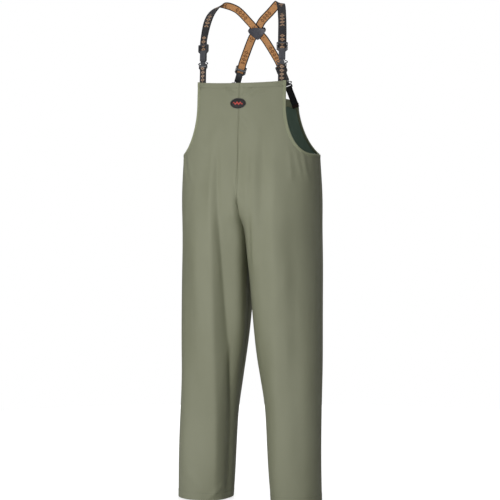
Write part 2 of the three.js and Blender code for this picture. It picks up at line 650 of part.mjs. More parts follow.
function addBraces() {
  const { strapEnd, ladderTop } = BUCKLE;
  const inBuckle = [strapEnd, (strapEnd + ladderTop) / 2, ladderTop, ladderTop + 10];
  const vector = (list) => new THREE.Vector3(...list);
  for (const [name, side] of SIDES) {
    const far = side > 0 ? 'rear_right' : 'rear_left';
    const route = [
      ...buckleStations(`front_${name}`, inBuckle),
      ...SHOULDER_ROUTE[name].map(({ at, across }) => ({ at: vector(at), across: vector(across) })),
      ...crossStations(side),
      ...buckleStations(far, inBuckle).reverse(),
    ];
    addPart(garment, `brace_${name}`, bandGeometry(route, STRAP_WIDTH, STRAP_THICKNESS, 72), ELASTIC);
  }
}

addPanels();
addBibHems();
addSeamTapes();
addLegHems();
addArmholeBindings();
addBadge();
addBuckles();
addCrossSlider();
addBraces();

const part = new THREE.Group();
part.add(garment);
export default part;
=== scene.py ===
"""Rain bib overall: cloth panels with seams and stitches, woven elastic braces and moulded buckles."""
import json
import math

import bmesh
import bpy
import numpy as np
from mathutils import Matrix, Vector


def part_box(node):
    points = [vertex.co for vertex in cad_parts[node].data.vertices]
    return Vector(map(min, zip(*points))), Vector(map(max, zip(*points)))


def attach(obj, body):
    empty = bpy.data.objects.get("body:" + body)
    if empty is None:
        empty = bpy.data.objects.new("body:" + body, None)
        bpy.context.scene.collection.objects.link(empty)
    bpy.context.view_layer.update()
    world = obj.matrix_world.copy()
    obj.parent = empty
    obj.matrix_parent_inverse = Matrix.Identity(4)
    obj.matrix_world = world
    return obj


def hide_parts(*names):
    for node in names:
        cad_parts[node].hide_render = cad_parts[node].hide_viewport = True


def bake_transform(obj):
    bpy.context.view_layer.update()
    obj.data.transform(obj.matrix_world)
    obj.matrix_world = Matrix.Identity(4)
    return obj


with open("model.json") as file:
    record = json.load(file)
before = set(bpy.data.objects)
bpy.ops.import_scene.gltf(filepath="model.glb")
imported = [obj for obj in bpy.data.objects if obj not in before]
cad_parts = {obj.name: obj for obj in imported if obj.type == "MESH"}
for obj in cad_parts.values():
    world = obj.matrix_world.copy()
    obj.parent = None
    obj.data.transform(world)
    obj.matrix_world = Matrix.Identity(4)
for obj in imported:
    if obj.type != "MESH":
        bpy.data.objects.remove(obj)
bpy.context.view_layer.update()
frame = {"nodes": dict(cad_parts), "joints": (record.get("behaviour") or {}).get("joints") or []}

# -------- driving dimensions, in metres
SIDES = {"left": 1, "right": -1}
FACES = {"front": -1, "back": 1}
HEM_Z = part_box("front_panel_left")[0][2]  # leg hems, from which heights are measured
CROTCH = 0.822
RISE = 0.930
UNDERARM = 1.031
TURN = 1.110
ROUNDNESS = 2.4
CLOTH = 0.0012
HEM_DEPTH = 0.024
TOP_HEM = {"front": 0.017, "back": 0.024}
MM = 0.001

# Profiles as (height, value) pairs in millimetres: the same shape as the frame's panels.
HALF_WIDTH = [(822, 212), (930, 210), (1031, 206), (1245, 206)]
DEPTH = {
    "front": [(822, 150), (930, 150), (1031, 140), (1160, 127), (1245, 120)],
    "back": [(822, 150), (930, 150), (1031, 140), (1130, 131), (1212, 121)],
}
LEG_INNER = [(0, 65), (168, 56), (270, 49), (365, 35), (510, 16), (822, 0)]
LEG_OUTER = [(0, 219), (250, 216), (510, 214), (822, 212)]
LEG_DEPTH = [(0, 85), (270, 95), (510, 115), (822, 146)]
LEG_INNER_ROUNDNESS = [(0, 2), (510, 2.1), (822, 2.9)]
LEG_OUTER_ROUNDNESS = [(0, 2), (510, 2), (822, 1.8)]
BIB = {
    "front": {"top": 1.245, "rise": -0.006, "half": 0.136, "curve_top": 1.180, "fullness": 2.0},
    "back": {"top": 1.192, "rise": 0.020, "half": 0.112, "curve_top": 1.186, "fullness": 1.75},
}
COLUMNS = 80
ACROSS = np.linspace(0, 1, COLUMNS + 1) ** 1.25  # columns from the centre seam, closest beside it
ROWS = {"edge": 26, "straight": 34, "turn": 34, "trunk": 24, "crotch": 34, "leg": 110, "hem": 28}
RELAX_PASSES = 80
SEAM_REACH = 0.008  # how far from the centre seam its normals are taken


def smoothstep(low, high, value):
    k = np.clip((np.asarray(value, float) - low) / (high - low), 0, 1)
    return k * k * (3 - 2 * k)


def mix(a, b, k):
    return a + (b - a) * k


def profile(pairs, z):
    """A smooth curve through (height, value) pairs in millimetres, read at heights z in metres.

    Values of 3 or less are powers, such as a leg's roundness, and stay as they are.
    """
    heights, values = np.array(pairs, float).T
    order = np.arange(len(values))
    before, after = np.maximum(order - 1, 0), np.minimum(order + 1, order[-1])
    slopes = (values[after] - values[before]) / (heights[after] - heights[before])
    at = np.clip(np.asarray(z, float) / MM, heights[0], heights[-1])
    i = np.clip(np.searchsorted(heights, at) - 1, 0, len(heights) - 2)
    span = heights[i + 1] - heights[i]
    u = (at - heights[i]) / span
    ease = 3 * u**2 - 2 * u**3
    value = mix(values[i], values[i + 1], ease)
    value += span * (u * (1 - u) ** 2 * slopes[i] - u**2 * (1 - u) * slopes[i + 1])
    return value * (MM if max(values) > 3 else 1)


# -------- garment surface
def bib_half_width(face, z):
    bib, side = BIB[face], profile(HALF_WIDTH, UNDERARM)
    u = np.clip((bib["curve_top"] - z) / (bib["curve_top"] - UNDERARM), 0, 1)
    return side - (side - bib["half"]) * (1 - u ** bib["fullness"]) ** (1 / bib["fullness"])


def armhole_height(face, angle):
    bib, side = BIB[face], profile(HALF_WIDTH, UNDERARM)
    across = (side - side * math.sin(angle) ** (2 / ROUNDNESS)) / (side - bib["half"])
    drop = max(1 - across ** bib["fullness"], 0) ** (1 / bib["fullness"])
    return bib["curve_top"] - (bib["curve_top"] - UNDERARM) * drop


def trunk_angle(z, x):
    return np.arcsin(np.minimum(x / profile(HALF_WIDTH, z), 1) ** (ROUNDNESS / 2))


def trunk_points(face, angle, z):
    """Trunk points of the +X half at angles from the centre seam (0) to the side seam (90 degrees)."""
    x = profile(HALF_WIDTH, z) * np.sin(angle) ** (2 / ROUNDNESS)
    y = FACES[face] * profile(DEPTH[face], z) * np.maximum(np.cos(angle), 0) ** (2 / ROUNDNESS)
    return np.stack(np.broadcast_arrays(x, y, z), axis=-1)


def leg_points(face, t, z):
    inner, outer = profile(LEG_INNER, z), profile(LEG_OUTER, z)
    cosine, sine = np.cos(t * math.pi), np.maximum(np.sin(t * math.pi), 0)
    power = 2 / np.where(cosine > 0, profile(LEG_INNER_ROUNDNESS, z), profile(LEG_OUTER_ROUNDNESS, z))
    x = (inner + outer) / 2 - (outer - inner) / 2 * np.sign(cosine) * np.abs(cosine) ** power
    return np.stack(np.broadcast_arrays(x, FACES[face] * profile(LEG_DEPTH, z) * sine**power, z), axis=-1)


def bib_row(face, heights, t):
    """A row of the bib; `heights` are at its centre and at its armhole edge."""
    bib, (centre_z, edge_z) = BIB[face], heights
    edge = trunk_angle(edge_z, bib_half_width(face, edge_z))
    z = mix(centre_z, edge_z, smoothstep(0.45, 1, t))
    fade = (z - UNDERARM) / (bib["top"] - UNDERARM)
    return trunk_points(face, t * edge, z + bib["rise"] * (1 - t * t) * fade)


def trunk_row(face, z, t, gather):
    leg_angle = trunk_angle(z, leg_points(face, t, CROTCH)[..., 0])
    return trunk_points(face, mix(t * math.pi / 2, leg_angle, gather), z)


def crotch_row(face, k, t):
    angle = k * math.pi / 2
    z = mix(RISE - (RISE - CROTCH) * math.sin(angle), RISE - (RISE - CROTCH) * k, smoothstep(0, 0.8, t))
    points = mix(trunk_row(face, z, t, 1), leg_points(face, t, CROTCH), 1 - math.cos(angle))
    points[..., 2] = z
    return points


def row_list(face):
    """Every row of a panel from the bib's top edge to the hem, as (kind, value) pairs."""
    turn_from = float(trunk_angle(TURN, bib_half_width(face, TURN)))
    steps = lambda count: [(i + 1) / count for i in range(count)]
    below_hem = BIB[face]["top"] - ROWS["edge"] * MM
    rows = [("bib", [BIB[face]["top"] - i * MM] * 2) for i in range(ROWS["edge"] + 1)]
    rows += [("bib", [mix(below_hem, TURN, k)] * 2) for k in steps(ROWS["straight"])]
    rows += [("bib", [mix(TURN, UNDERARM, k), armhole_height(face, mix(turn_from, math.pi / 2, k))])
             for k in steps(ROWS["turn"])]
    rows += [("trunk", k) for k in steps(ROWS["trunk"])]
    rows += [("crotch", k) for k in steps(ROWS["crotch"])]
    rows += [("leg", mix(CROTCH, ROWS["hem"] * MM, k)) for k in steps(ROWS["leg"])]
    rows += [("leg", (ROWS["hem"] - 1 - i) * MM) for i in range(ROWS["hem"])]
    return rows


BIB_ROWS = ROWS["edge"] + 1 + ROWS["straight"] + ROWS["turn"]
TRUNK_ROWS = BIB_ROWS + ROWS["trunk"]
CROTCH_ROWS = TRUNK_ROWS + ROWS["crotch"]


def make_row(face, kind, value, t):
    if kind == "bib":
        return bib_row(face, value, t)
    if kind == "trunk":
        return trunk_row(face, mix(UNDERARM, RISE, value), t, value)
    if kind == "crotch":
        return crotch_row(face, value, t)
    return leg_points(face, t, value)


def trunk_outward(face, points):
    """Outward unit normals from the trunk's own equation."""
    def field(p):
        x = np.abs(p[..., 0]) / profile(HALF_WIDTH, p[..., 2])
        y = np.abs(p[..., 1]) / profile(DEPTH[face], p[..., 2])
        return x**ROUNDNESS + y**ROUNDNESS
    step = np.eye(3) * MM
    slope = np.stack([field(points + step[i]) - field(points - step[i]) for i in range(3)], axis=-1)
    return slope / np.linalg.norm(slope, axis=-1, keepdims=True)


def grid_outward(grid, face):
    normal = np.cross(np.gradient(grid, axis=0), np.gradient(grid, axis=1))
    normal /= np.maximum(np.linalg.norm(normal, axis=-1, keepdims=True), 1e-12)
    middle = grid.shape[1] // 2
    flip = np.sign(normal[:, middle : middle + 1, 1:2]) * FACES[face]
    return normal * flip


def relaxed(grid, first, last, passes):
    """Rows from `first` to `last` smoothed down the panel, away from its seams."""
    weight = (smoothstep(0, 0.08, ACROSS) * smoothstep(0, 0.08, 1 - ACROSS))[None, :, None] * 0.5
    for _ in range(passes):
        mean = (grid[first - 1 : last - 1] + grid[first + 1 : last + 1]) / 2
        grid[first:last] = mix(grid[first:last], mean, weight)
    return grid


def panel_surface(face):
    """Points and outward normals of one panel's +X half, before any folds."""
    rows = row_list(face)
    grid = np.stack([make_row(face, kind, value, ACROSS) for kind, value in rows])
    grid = relaxed(grid, BIB_ROWS + ROWS["trunk"] // 2, CROTCH_ROWS + ROWS["leg"] // 2, RELAX_PASSES)
    normals = grid_outward(grid, face)
    fade = smoothstep(0, 1, np.linspace(0, 1, ROWS["trunk"]))[:, None, None]
    plain = trunk_outward(face, grid[:TRUNK_ROWS])
    plain[BIB_ROWS:] = mix(plain[BIB_ROWS:], normals[BIB_ROWS:TRUNK_ROWS], fade)
    normals[:TRUNK_ROWS] = plain
    normals = steadied(grid, normals)
    return grid, normals / np.linalg.norm(normals, axis=-1, keepdims=True)


def steadied(grid, normals):
    """Normals beside the centre seam, where columns crowd, taken from the cloth SEAM_REACH away."""
    for i in range(BIB_ROWS, CROTCH_ROWS - 2):
        away = np.linalg.norm(grid[i] - grid[i, 0], axis=-1)
        j = int(np.argmax(away > SEAM_REACH))
        on_seam = normals[i, j] * (0, 1, 1)
        on_seam /= np.linalg.norm(on_seam)
        normals[i, :j] = mix(on_seam, normals[i, j], (away[:j] / away[j])[:, None])
    return normals


# -------- folds
def ridge(x, z, a, b, width, sharp=False, fade=0.25):
    """1 on the line from a to b in the x-z plane, falling away over `width` and towards both ends."""
    (ax, az), (bx, bz) = a, b
    length = math.hypot(bx - ax, bz - az)
    along = ((x - ax) * (bx - ax) + (z - az) * (bz - az)) / length**2
    off = ((x - ax) * (bz - az) - (z - az) * (bx - ax)) / length
    inside = smoothstep(-fade, fade, along) * smoothstep(-fade, fade, 1 - along)
    across = np.exp(-np.sqrt((off / width) ** 2 + 0.02)) if sharp else np.exp(-((off / width) ** 2))
    return across * inside


# Each crease or fold is its start and end as (x, height above the hems), its width, and how far it stands
# off the cloth, negative for a valley, all in millimetres. TENTS have a sharp crest and FOLDS a round one.
TENTS = {"front": [
    ((-74, 1030), (-98, 20), 32, 21),
    ((-62, 1030), (-46, 440), 14, -12.5),
    ((-46, 440), (-66, 10), 9, -14),
    ((108, 1060), (110, 20), 46, 12),
    ((34, 1020), (50, 700), 20, 6.5),
], "back": [
    ((-105, 980), (-112, 20), 45, 10),
    ((110, 980), (108, 20), 45, 9.5),
]}
FOLDS = {"front": [
    ((-7, 1198), (-38, 1223), 4.5, 3.8),
    ((10, 1200), (42, 1223), 4.5, 3.4),
    ((24, 1192), (70, 1214), 5.5, 2.4),
    ((-1, 1196), (-1, 1238), 9, 1.2),
    ((10, 1140), (26, 1120), 4, 1.1),
    ((12, 1115), (30, 1098), 4, 1),
    ((30, 1150), (75, 1060), 16, 1.4),
    ((-50, 1130), (-100, 1040), 20, 1.8),
    ((164, 1036), (178, 970), 5.5, 2),
    ((180, 1030), (192, 960), 5, 3),
    ((146, 1040), (156, 960), 7, 1.8),
    ((-188, 1026), (-174, 965), 6, 4),
    ((-170, 1034), (-150, 960), 8, 2.6),
    ((74, 1060), (80, 780), 15, -6),
    ((-14, 880), (-32, 440), 14, 16),
    ((42, 1000), (38, 720), 8, -4.5),
    ((0, 1060), (0, 890), 26, -7),
    ((160, 900), (168, 100), 20, -4),
    ((-158, 900), (-150, 120), 22, -2),
    ((150, 700), (100, 560), 20, 2),
    ((-75, 50), (-110, 8), 6, 2.2),
    ((-180, 90), (-130, 30), 10, 1.4),
    ((160, 62), (195, 20), 8, 1.8),
], "back": [
    ((0, 1150), (30, 960), 30, 3),
    ((-60, 1160), (-110, 1000), 22, 3),
    ((70, 1160), (120, 1010), 22, 3),
    ((0, 1060), (0, 890), 26, -7),
    ((15, 900), (120, 820), 17, 5),
    ((-15, 900), (-120, 810), 17, 5),
    ((20, 850), (110, 760), 14, 4),
    ((-20, 850), (-110, 750), 14, 4),
    ((-70, 700), (-78, 80), 14, -5),
    ((72, 700), (76, 80), 14, -5),
    ((175, 600), (120, 520), 18, 3.5),
    ((-180, 580), (-110, 510), 18, 3.5),
    ((172, 900), (178, 100), 17, -3),
    ((-168, 900), (-172, 100), 17, -3),
]}


BADGE_HEIGHT, BADGE_OFFSET = 1.179, -0.002  # the badge's centre on the front bib


def fold_height(face, points):
    """How far the cloth stands off its plain shape, in metres, at points of the garment (both sides)."""
    x, y, z = points[..., 0], np.abs(points[..., 1]), points[..., 2]
    height = np.zeros(x.shape)
    for a, b, width, size in TENTS[face]:
        height += size * MM * ridge(x / MM, z / MM, a, b, width, sharp=True, fade=0.12)
    for a, b, width, size in FOLDS[face]:
        height += size * MM * ridge(x / MM, z / MM, a, b, width)
    # A slow swell from the bib down, then a finer ripple from the waist down.
    turn = x * 31 + (0 if face == "front" else 2.1)
    slow = np.sin(turn + 1.3 * np.sin(z * 6.1) + z * 1.7) + 0.6 * np.sin(turn * 2.1 + z * 3.3 + 1.1)
    height += 0.0011 * slow * smoothstep(1.18, 1.02, z)
    height += 0.0008 * np.sin(x * 73 + 2.2 * np.sin(z * 8.3)) * smoothstep(0.95, 0.7, z)
    away_from_side = smoothstep(0.0, 0.045, y)
    flat_at_badge = 1 - np.exp(-(((x - BADGE_OFFSET) / 0.034) ** 2 + ((z - BADGE_HEIGHT) / 0.026) ** 2) ** 2)
    return height * away_from_side * (flat_at_badge if face == "front" else 1)


def seam_relief(face, points, distance_below_edge):
    """Small steps of the sewn layers: turned hems and lapped seams."""
    x, z = points[..., 0], points[..., 2]
    above_crotch = smoothstep(CROTCH + 0.01, CROTCH + 0.05, z)
    centre = -0.0011 * np.exp(-((x / 0.0022) ** 2)) + 0.0005 * np.exp(-(((x - 0.006) / 0.004) ** 2))
    hem = 0.0005 * smoothstep(HEM_DEPTH, HEM_DEPTH - 0.002, z)
    groove = -0.0006 * np.exp(-(((z - HEM_DEPTH + 0.002) / 0.0014) ** 2))
    corner = 1 if face == "back" else smoothstep(0.090, 0.100, np.abs(x))
    top = 0.0005 * smoothstep(TOP_HEM[face], TOP_HEM[face] - 0.002, distance_below_edge)
    top_groove = -0.0007 * corner * np.exp(-(((distance_below_edge - TOP_HEM[face] + 0.002) / 0.0014) ** 2))
    return centre * above_crotch + hem + groove + top + top_groove


SWAY = {1: 0.005, -1: 0.011}  # by the sign of the leg's side


def sway(points, side):
    """How far a leg's outer side hangs towards -X near the hem, the same for its front and back panels."""
    outer = smoothstep(0.08, 0.20, np.abs(points[..., 0]))
    low = smoothstep(0.42, 0.08, points[..., 2])
    return -SWAY[side] * outer * low


def finished_surface(face, side):
    """A panel's outer points and normals with folds and sewn relief, on its own side."""
    grid, normals = panel_surface(face)
    mirror = np.array([side, 1, 1])
    grid, normals = grid * mirror, normals * mirror
    grid[..., 0] += sway(grid, side)
    below_edge = BIB[face]["top"] + BIB[face]["rise"] * (1 - ACROSS**2) - grid[..., 2]
    lift = fold_height(face, grid) + seam_relief(face, grid, below_edge)
    raised = grid + normals * lift[..., None]
    raised[:CROTCH_ROWS, 0, 0] = 0
    raised[CROTCH_ROWS - 1 :, [0, -1], 1] = 0
    return raised, normals


# -------- mesh helpers
def new_object(name, vertices, faces, materials, face_slots=None):
    mesh = bpy.data.meshes.new(name)
    mesh.from_pydata([tuple(v) for v in vertices], [], [tuple(f) for f in faces])
    for material in materials:
        mesh.materials.append(material)
    if face_slots is not None:
        mesh.polygons.foreach_set("material_index", np.asarray(face_slots, np.int32))
    mesh.polygons.foreach_set("use_smooth", np.full(len(mesh.polygons), True))
    mesh.update()
    obj = bpy.data.objects.new(name, mesh)
    bpy.context.scene.collection.objects.link(obj)
    return obj


def shell_faces(rows, columns, ring=False):
    """Quads of a closed shell whose outer grid comes first, with 0 outer, 1 inner and 2 edge faces."""
    faces, slots = [], []
    at = lambda layer, i, j: layer * rows * columns + i * columns + j % columns
    span = columns if ring else columns - 1
    for i in range(rows - 1):
        for j in range(span):
            faces.append((at(0, i, j), at(0, i + 1, j), at(0, i + 1, j + 1), at(0, i, j + 1)))
            faces.append((at(1, i, j), at(1, i, j + 1), at(1, i + 1, j + 1), at(1, i + 1, j)))
            slots += [0, 1]
        if not ring:
            faces.append((at(0, i, 0), at(1, i, 0), at(1, i + 1, 0), at(0, i + 1, 0)))
            last = columns - 1
            faces.append((at(0, i, last), at(0, i + 1, last), at(1, i + 1, last), at(1, i, last)))
            slots += [2, 2]
    for j in range(span):
        last = rows - 1
        faces.append((at(0, 0, j), at(0, 0, j + 1), at(1, 0, j + 1), at(1, 0, j)))
        faces.append((at(0, last, j), at(1, last, j), at(1, last, j + 1), at(0, last, j + 1)))
        slots += [2, 2]
    return faces, slots


def shell_object(name, outer, inner, materials, ring=False):
    """A closed shell between two grids; materials are for its outer, inner and edge faces."""
    rows, columns = outer.shape[:2]
    faces, slots = shell_faces(rows, columns, ring)
    vertices = np.concatenate([outer.reshape(-1, 3), inner.reshape(-1, 3)]) + (0, 0, HEM_Z)
    obj = new_object(name, vertices, faces, materials, slots)
    outward_faces(obj)
    return obj


def outward_faces(obj):
    work = bmesh.new()
    work.from_mesh(obj.data)
    if work.calc_volume(signed=True) < 0:
        bmesh.ops.reverse_faces(work, faces=work.faces)
        work.to_mesh(obj.data)
    work.free()


def tube_faces(rings, corners, loop=False):
    """Quads through equal rings of points, then the two end caps unless the last ring meets the first."""
    at = lambda i, j: i % rings * corners + j % corners
    spans = range(rings if loop else rings - 1)
    faces = [(at(i, j), at(i, j + 1), at(i + 1, j + 1), at(i + 1, j)) for i in spans for j in range(corners)]
    if not loop:
        faces.append(tuple(range(corners))[::-1])
        faces.append(tuple(at(rings - 1, j) for j in range(corners)))
    return faces


def rings_mesh(name, rings, material, loop=False):
    """A closed mesh through equal rings of points, capped or closed on itself."""
    obj = new_object(name, np.concatenate(rings), tube_faces(len(rings), len(rings[0]), loop), [material])
    outward_faces(obj)
    return obj


# -------- materials
def node_material(name, roughness, specular=0.5):
    """A new material with its node tree and shader, and the object's own coordinates in metres."""
    material = bpy.data.materials.new(name)
    material.use_nodes = True
    tree = material.node_tree
    shader = tree.nodes["Principled BSDF"]
    shader.inputs["Roughness"].default_value = roughness
    shader.inputs["Specular IOR Level"].default_value = specular
    coordinates = tree.nodes.new("ShaderNodeTexCoord").outputs["Object"]
    return material, tree, shader, coordinates


def linear(red, green, blue):
    """A screen colour, 0 to 255, as the linear colour that shaders take."""
    def one(c):
        c /= 255
        return c / 12.92 if c <= 0.04045 else ((c + 0.055) / 1.055) ** 2.4
    return (one(red), one(green), one(blue), 1)


def maths(tree, operation, *values):
    node = tree.nodes.new("ShaderNodeMath")
    node.operation = operation
    for socket, value in zip(node.inputs, values):
        if isinstance(value, (int, float)):
            socket.default_value = value
        else:
            tree.links.new(value, socket)
    return node.outputs[0]


def scaled(tree, coordinates, scale):
    node = tree.nodes.new("ShaderNodeMapping")
    node.inputs["Scale"].default_value = scale
    tree.links.new(coordinates, node.inputs["Vector"])
    return node.outputs["Vector"]


def noise(tree, coordinates, scale, detail=3.0, roughness=0.5):
    node = tree.nodes.new("ShaderNodeTexNoise")
    node.inputs["Scale"].default_value = scale
    node.inputs["Detail"].default_value = detail
    node.inputs["Roughness"].default_value = roughness
    tree.links.new(coordinates, node.inputs["Vector"])
    return node.outputs["Fac"]


def wave(tree, coordinates, scale, direction, distortion=0.0):
    node = tree.nodes.new("ShaderNodeTexWave")
    node.bands_direction = direction
    node.inputs["Scale"].default_value = scale
    node.inputs["Distortion"].default_value = distortion
    tree.links.new(coordinates, node.inputs["Vector"])
    return node.outputs["Fac"]


def blended(tree, factor, first, second):
    node = tree.nodes.new("ShaderNodeMix")
    node.data_type = "RGBA"
    for socket, value in ((node.inputs[0], factor), (node.inputs[6], first), (node.inputs[7], second)):
        if isinstance(value, (int, float, tuple)):
            socket.default_value = value
        else:
            tree.links.new(value, socket)
    return node.outputs[2]


def spread(tree, value, low, high, to_low=0.0, to_high=1.0):
    node = tree.nodes.new("ShaderNodeMapRange")
    for i, number in enumerate((low, high, to_low, to_high)):
        node.inputs[i + 1].default_value = number
    tree.links.new(value, node.inputs[0])
    return node.outputs[0]


def bumped(tree, shader, heights, strength):
    """Bump from (height socket, distance in metres) pairs, one over the other."""
    normal = None
    for height, distance in heights:
        node = tree.nodes.new("ShaderNodeBump")
        node.inputs["Strength"].default_value = strength
        node.inputs["Distance"].default_value = distance
        tree.links.new(height, node.inputs["Height"])
        if normal:
            tree.links.new(normal, node.inputs["Normal"])
        normal = node.outputs["Normal"]
    tree.links.new(normal, shader.inputs["Normal"])


def cloth_material(name, light, dark, roughness, weave_depth, specular=0.35):
    """Coated cloth: soft colour drift, small creases, rubbed grain and a fine plain weave."""
    material, tree, shader, at = node_material(name, roughness, specular=specular)
    light, dark = linear(*light), linear(*dark)
    drift = noise(tree, scaled(tree, at, (1, 1, 0.35)), 7, 3)
    grain = noise(tree, at, 900, 2, 0.6)
    colour = blended(tree, spread(tree, drift, 0.3, 0.7), dark, light)
    speckle = blended(tree, spread(tree, grain, 0.35, 0.65, 0.0, 0.10), colour, dark)
    tree.links.new(speckle, shader.inputs["Base Color"])
    rub = noise(tree, at, 38, 4, 0.65)
    rubbed = spread(tree, rub, 0.3, 0.75, roughness - 0.06, roughness + 0.1)
    tree.links.new(rubbed, shader.inputs["Roughness"])
    crease = noise(tree, scaled(tree, at, (1, 1, 0.22)), 26, 4, 0.55)
    threads = maths(tree, "ADD", wave(tree, at, 480, "Z", 0.6), wave(tree, at, 480, "X", 0.6))
    bumped(tree, shader, [(crease, 0.0016), (grain, weave_depth * 0.6), (threads, weave_depth)], 0.8)
    return material


def woven_pattern(tree, period, share, length, half_width):
    """1 inside a row of hollow lozenges, `length` long: each `period` of the band has them over `share`."""
    band = tree.nodes.new("ShaderNodeAttribute")
    band.attribute_name = "band"
    parts = tree.nodes.new("ShaderNodeSeparateXYZ")
    tree.links.new(band.outputs["Vector"], parts.inputs[0])
    across = maths(tree, "ABSOLUTE", parts.outputs[0])
    along = parts.outputs[1]
    in_lozenge = maths(tree, "SUBTRACT", maths(tree, "MODULO", along, length), length / 2)
    step = maths(tree, "DIVIDE", maths(tree, "ABSOLUTE", in_lozenge), length * 0.44)
    lozenge = maths(tree, "ADD", step, maths(tree, "DIVIDE", across, half_width))
    inside = maths(tree, "LESS_THAN", lozenge, 1.0)
    hollow = maths(tree, "GREATER_THAN", lozenge, 0.34)
    group = maths(tree, "LESS_THAN", maths(tree, "MODULO", along, period), period * share)
    shape = maths(tree, "MULTIPLY", maths(tree, "MULTIPLY", inside, hollow), group)
    return shape, across, along


RIB_PITCH, CORD_PITCH, RIB_DEPTH = 0.0011, 0.0016, 0.00025


def webbing_material(name, base, border, motif, border_from, **weave):
    """Woven webbing: ribs across, darker woven borders and a generic row of lozenges."""
    material, tree, shader, at = node_material(name, 0.78, specular=0.25)
    base, border, motif = linear(*base), linear(*border), linear(*motif)
    shader.inputs["Sheen Weight"].default_value = 0.15
    shape, across, along = woven_pattern(tree, **weave)
    yarn = noise(tree, at, 1500, 2)
    tone = blended(tree, spread(tree, yarn, 0.3, 0.7, 0.0, 0.35), base, border)
    figure = blended(tree, spread(tree, yarn, 0.3, 0.7, 0.0, 0.25), motif, base)
    body = blended(tree, shape, tone, figure)
    edge = maths(tree, "GREATER_THAN", across, border_from)
    tree.links.new(blended(tree, edge, body, border), shader.inputs["Base Color"])
    rib = maths(tree, "SINE", maths(tree, "MULTIPLY", along, 2 * math.pi / RIB_PITCH))
    cord = maths(tree, "SINE", maths(tree, "MULTIPLY", across, 2 * math.pi / CORD_PITCH))
    bumped(tree, shader, [(rib, RIB_DEPTH), (cord, RIB_DEPTH * 0.6), (yarn, RIB_DEPTH * 0.5)], 0.7)
    return material


def moulded_material(name, colour, worn, roughness=0.42):
    """Moulded acetal: a fine spark-eroded grain, flow marks and slightly rubbed patches."""
    material, tree, shader, at = node_material(name, roughness)
    grain = noise(tree, at, 2600, 2, 0.6)
    flow = noise(tree, scaled(tree, at, (1, 1, 0.4)), 90, 3)
    rubbed = blended(tree, spread(tree, flow, 0.45, 0.75, 0.0, 0.6), linear(*colour), linear(*worn))
    tree.links.new(rubbed, shader.inputs["Base Color"])
    gloss = spread(tree, flow, 0.3, 0.7, roughness - 0.07, roughness + 0.1)
    tree.links.new(gloss, shader.inputs["Roughness"])
    bumped(tree, shader, [(grain, 0.00006), (flow, 0.0001)], 0.8)
    return material


# Colours are red, green and blue as seen on a screen, 0 to 255.
CLOTH_OUT = cloth_material("coated_cloth_outside", (139, 141, 119), (128, 130, 107), 0.5, 0.00012)
# The lining's green is made much paler than its own darker green: painted light, standing in for the light
# that hardly reaches the shaded inside.
CLOTH_IN_PAINTED_LIGHT = cloth_material("lining_green_painted_light", (148, 170, 156), (130, 152, 138), 0.75, 0.0002, 0.2)
# Turned edges, hems and bindings: the outer cloth made lighter, as painted light on edges that lie in shade.
CLOTH_EDGE_PAINTED_LIGHT = cloth_material("turned_edge_painted_light", (154, 158, 130), (138, 142, 114), 0.52, 0.00012)
# The back bib's turned hem, seen inside behind the front bib: the outer cloth made much lighter, as painted
# light where it lies in shade.
HEM_BACK_PAINTED_LIGHT = cloth_material("back_hem_painted_light", (186, 190, 158), (170, 174, 142), 0.52, 0.00012)
TAPE = cloth_material("seam_tape_film", (70, 82, 70), (58, 70, 58), 0.35, 0.00008, 0.5)
THREAD = cloth_material("sewing_thread", (120, 123, 100), (96, 99, 80), 0.6, 0.0002, 0.3)
END_PATCH = cloth_material("tab_end_leatherette", (70, 34, 30), (48, 24, 22), 0.5, 0.0003, 0.4)

BLACK = (26, 25, 28)
BRACE_WEAVE = {"border_from": 0.0092, "period": 0.075, "share": 0.62, "length": 0.0118, "half_width": 0.0082}
FRONT_WEAVE = {"border_from": 0.0088, "period": 0.2, "share": 0.9, "length": 0.0115, "half_width": 0.0074}
REAR_WEAVE = {"border_from": 0.0088, "period": 0.2, "share": 0.5, "length": 0.012, "half_width": 0.007}
BRACE_OUT = webbing_material("brace_outside_weave", (46, 44, 46), BLACK, (176, 142, 112), **BRACE_WEAVE)
BRACE_IN = webbing_material("brace_inside_weave", (222, 162, 106), BLACK, (112, 72, 42), **BRACE_WEAVE)
TAB_FRONT = webbing_material("front_tab_weave", (54, 51, 52), BLACK, (178, 150, 126), **FRONT_WEAVE)
TAB_REAR = webbing_material("rear_tab_weave", (38, 37, 40), BLACK, (44, 43, 46), **REAR_WEAVE)

PLASTIC_FRONT = moulded_material("front_buckle_acetal", (66, 67, 71), (86, 88, 92))
PLASTIC_REAR = moulded_material("rear_buckle_acetal", (40, 40, 44), (56, 57, 61))
PLASTIC_SLIDER = moulded_material("slider_acetal", (66, 66, 74), (84, 84, 92))
BADGE_BLACK = moulded_material("badge_backing_black", (10, 8, 8), (20, 16, 16), 0.65)
BADGE_SILVER = moulded_material("badge_rim_silver", (52, 48, 47), (84, 80, 78), 0.35)
BADGE_RED = moulded_material("badge_motif_red", (176, 50, 40), (196, 70, 58), 0.45)


# -------- cloth panels and sewn layers
def on_garment(obj, slot, *nodes):
    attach(obj, "garment")
    if nodes:
        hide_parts(*nodes)


def make_panel(face, name, surface):
    outer, normals = surface
    inner = outer - normals * CLOTH
    inner[:CROTCH_ROWS, 0, 0] = 0
    # The inner faces take the paled lining and the cut edges take the lightened edge cloth, both painted
    # light.
    obj = shell_object(f"{face}_panel_{name}_cloth", outer, inner, [CLOTH_OUT, CLOTH_IN_PAINTED_LIGHT, CLOTH_EDGE_PAINTED_LIGHT])
    on_garment(obj, "coated_cloth", f"{face}_panel_{name}")


SURFACES = {(face, name): finished_surface(face, side) for face in FACES for name, side in SIDES.items()}
for (face, name), surface in SURFACES.items():
    make_panel(face, name, surface)


